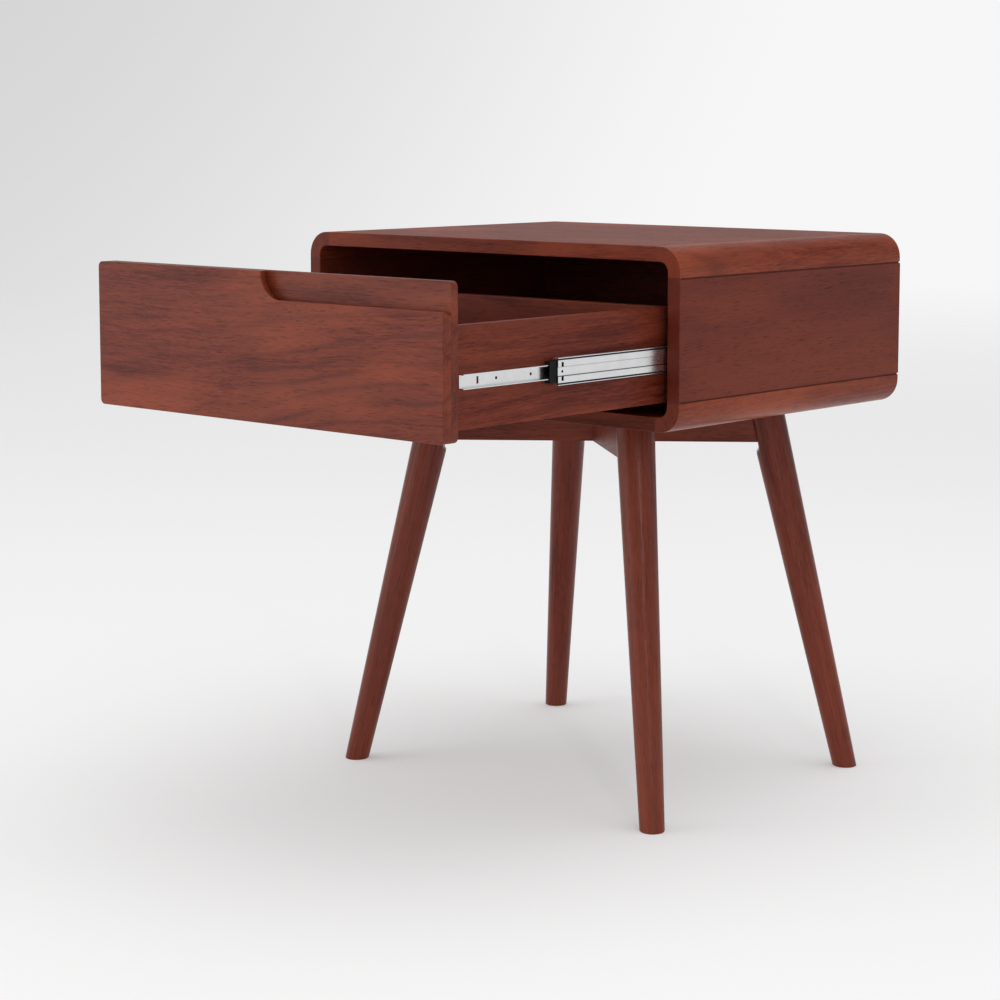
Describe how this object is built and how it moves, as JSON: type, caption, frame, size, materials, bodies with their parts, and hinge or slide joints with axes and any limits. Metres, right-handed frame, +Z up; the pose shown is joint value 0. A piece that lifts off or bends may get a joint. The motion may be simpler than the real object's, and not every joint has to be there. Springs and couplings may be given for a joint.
{
  "type": "bedside table",
  "caption": "Bedside table: a round-cornered wooden cabinet with a pull-out drawer on ball slides, standing on splayed tapered legs joined by crossed beams.",
  "frame": {"origin": "on the floor, under the middle of the box that bounds the whole piece with the drawer open as stored; that is 175 mm in front of the middle of the cabinet", "axes": "+Z up, the drawer front faces -Y, +X to the right as seen from the front"},
  "size_m": [0.584, 0.783, 0.666],
  "materials": {
    "solid_wood": "satin stained hardwood, red brown with darker streaks",
    "veneered_board": "satin stained veneer, fine straight grain",
    "thin_plywood": "satin stained thin plywood",
    "dowel_wood": "raw beech",
    "zinc_steel": "bright zinc plate",
    "black_plastic": "moulded black",
    "ball_steel": "polished",
    "screw_steel": "zinc plated"
  },
  "bodies": {
    "cabinet": {"top_panel": "veneered_board", "bottom_panel": "veneered_board", "side_panel_left": "veneered_board", "side_panel_right": "veneered_board", "corner_top_left": "solid_wood", "corner_top_right": "solid_wood", "corner_bottom_left": "solid_wood", "corner_bottom_right": "solid_wood", "back_panel": "thin_plywood", "back_screws": "screw_steel", "beam_front_left": "solid_wood", "beam_front_right": "solid_wood", "beam_screws": "screw_steel", "leg_front_left": "solid_wood", "leg_front_right": "solid_wood", "leg_back_left": "solid_wood", "leg_back_right": "solid_wood", "leg_dowels": "dowel_wood", "slide_outer_left": "zinc_steel", "slide_outer_right": "zinc_steel", "outer_screws": "screw_steel"},
    "drawer": {"drawer_face": "solid_wood", "drawer_backer": "solid_wood", "drawer_side_left": "solid_wood", "drawer_side_right": "solid_wood", "drawer_back": "solid_wood", "drawer_bottom": "thin_plywood", "front_screws": "screw_steel", "box_screws": "screw_steel", "slide_inner_left": "zinc_steel", "slide_inner_right": "zinc_steel", "inner_screws": "screw_steel"},
    "middle_left": {"slide_middle_left": "zinc_steel"},
    "outer_cage_set_left": {"outer_cage_left": "zinc_steel", "outer_balls_left": "ball_steel"},
    "inner_cage_set_left": {"inner_cage_left": "black_plastic", "inner_balls_left": "ball_steel"},
    "middle_right": {"slide_middle_right": "zinc_steel"},
    "outer_cage_set_right": {"outer_cage_right": "zinc_steel", "outer_balls_right": "ball_steel"},
    "inner_cage_set_right": {"inner_cage_right": "black_plastic", "inner_balls_right": "ball_steel"}
  },
  "joints": [
    {"name": "drawer_slide", "type": "slide", "parent": "cabinet", "child": "drawer", "axis": [0, -1, 0], "range_m": [-0.35, 0.005]},
    {"name": "middle_slide_left", "type": "slide", "parent": "cabinet", "child": "middle_left", "axis": [0, -1, 0], "range_m": [-0.2035, 0.003]},
    {"name": "outer_cage_roll_left", "type": "slide", "parent": "cabinet", "child": "outer_cage_set_left", "axis": [0, -1, 0], "range_m": [-0.102, 0.0016]},
    {"name": "inner_cage_roll_left", "type": "slide", "parent": "cabinet", "child": "inner_cage_set_left", "axis": [0, -1, 0], "range_m": [-0.277, 0.0041]},
    {"name": "middle_slide_right", "type": "slide", "parent": "cabinet", "child": "middle_right", "axis": [0, -1, 0], "range_m": [-0.2035, 0.003]},
    {"name": "outer_cage_roll_right", "type": "slide", "parent": "cabinet", "child": "outer_cage_set_right", "axis": [0, -1, 0], "range_m": [-0.102, 0.0016]},
    {"name": "inner_cage_roll_right", "type": "slide", "parent": "cabinet", "child": "inner_cage_set_right", "axis": [0, -1, 0], "range_m": [-0.277, 0.0041]}
  ],
  "couplings": [
    {"joint": "middle_slide_left", "follows": "drawer_slide", "ratio": 0.58},
    {"joint": "outer_cage_roll_left", "follows": "drawer_slide", "ratio": 0.29},
    {"joint": "inner_cage_roll_left", "follows": "drawer_slide", "ratio": 0.79},
    {"joint": "middle_slide_right", "follows": "drawer_slide", "ratio": 0.58},
    {"joint": "outer_cage_roll_right", "follows": "drawer_slide", "ratio": 0.29},
    {"joint": "inner_cage_roll_right", "follows": "drawer_slide", "ratio": 0.79}
  ]
}
